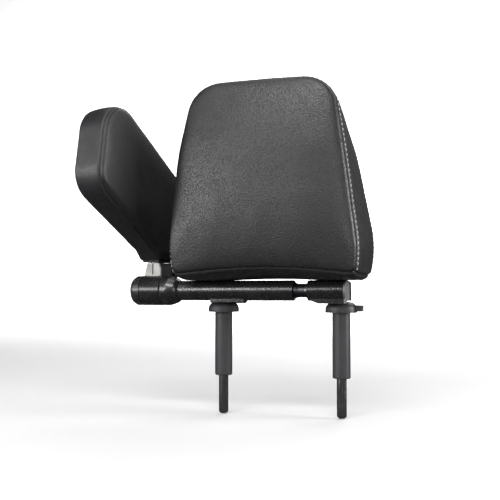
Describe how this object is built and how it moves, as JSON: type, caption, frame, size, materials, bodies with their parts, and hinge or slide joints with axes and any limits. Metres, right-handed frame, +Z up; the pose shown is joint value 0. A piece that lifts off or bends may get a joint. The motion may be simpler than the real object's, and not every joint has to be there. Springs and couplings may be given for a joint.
{
  "type": "adjustable head restraint with side support",
  "caption": "Leather head restraint on two posts in guide sleeves, with a clamped cross bar that carries a swinging, swivelling side support wing.",
  "frame": {"origin": "midway between the two posts, on the seat-top plane that the guide sleeve heads rest on", "axes": "+Z up along the posts, -Y towards the sitter's head, +X from the wing towards the release button"},
  "size_m": [0.3297, 0.1848, 0.409],
  "materials": {
    "board": "birch plywood",
    "bright_aluminium": "satin",
    "bronze": "sintered bronze",
    "bush_plastic": "natural acetal",
    "core_plastic": "moulded plastic",
    "dark_steel": "dark satin",
    "foam": "moulded polyurethane foam",
    "friction_lining": "matt",
    "guide_plastic": "dark moulded plastic",
    "knob_plastic": "black ribbed plastic",
    "leather": "black pebbled leather",
    "liner_rubber": "matt",
    "post_chrome": "polished",
    "satin_black": "satin black",
    "screw_steel": "black oxide",
    "spring_steel": "plain",
    "textured_black": "textured black powder coat",
    "trim_plastic": "black plastic",
    "wing_leather": "black fine-grain leather, matte"
  },
  "bodies": {
    "seat_guides": {"guide_sleeve_left": "guide_plastic", "guide_sleeve_right": "guide_plastic"},
    "height_button": {"release_button": "guide_plastic", "latch_plate": "spring_steel", "button_spring": "spring_steel"},
    "headrest": {"post_armature": "post_chrome", "core_screws": "screw_steel", "core_shell_front": "core_plastic", "core_shell_rear": "core_plastic", "post_bezels": "guide_plastic", "headrest_foam": "foam", "cover_front": "leather", "cover_rear": "leather", "cover_gusset": "leather", "cover_underside": "leather", "grub_screws": "spring_steel", "main_tube": "textured_black", "inner_bar": "dark_steel", "bar_bush": "bush_plastic", "hub_casting": "textured_black", "hub_spindle": "screw_steel", "friction_disc": "friction_lining", "post_liners": "liner_rubber", "jaw_right": "textured_black", "clamp_screws_right": "screw_steel", "clamp_plate_right": "satin_black", "jaw_end_plate": "bright_aluminium", "clamp_saddle_left": "textured_black", "clamp_screws_left": "screw_steel", "clamp_plate_left": "satin_black"},
    "wing_arm": {"swing_collar": "satin_black", "collar_bush": "bronze", "arm_neck": "bright_aluminium", "arm_bracket": "satin_black", "arm_bolts": "screw_steel", "yaw_pin": "spring_steel", "pin_circlip": "spring_steel"},
    "hub_knob": {"tension_knob": "knob_plastic", "knob_insert": "bronze", "disc_springs": "spring_steel"},
    "wing": {"wing_bracket": "screw_steel", "wing_board": "board", "board_screws": "screw_steel", "wing_foam_inner": "foam", "wing_foam_outer": "foam", "wing_cover_inner": "wing_leather", "wing_gusset": "wing_leather", "wing_cover_outer": "wing_leather", "wing_bottom_trim": "trim_plastic"}
  },
  "joints": [
    {"name": "height_slide", "type": "slide", "parent": "seat_guides", "child": "headrest", "axis": [0, 0, 1], "range_m": [0, 0.06]},
    {"name": "height_release", "type": "slide", "parent": "seat_guides", "child": "height_button", "axis": [-1, 0, 0], "range_m": [0, 0.003], "stiffness_N_per_m": 800, "springref_m": -0.001, "deforming": ["button_spring"]},
    {"name": "wing_swing", "type": "hinge", "parent": "headrest", "child": "wing_arm", "pos_m": [-0.1634, -0.022, 0.027], "axis": [1, 0, 0], "range_deg": [-90, 30]},
    {"name": "knob_turn", "type": "hinge", "parent": "headrest", "child": "hub_knob", "pos_m": [-0.184, -0.022, 0.027], "axis": [1, 0, 0], "range_deg": [0, 270]},
    {"name": "wing_yaw", "type": "hinge", "parent": "wing_arm", "child": "wing", "pos_m": [-0.1659, -0.014, 0.08], "axis": [0, 0, 1], "range_deg": [-20, 25]}
  ]
}
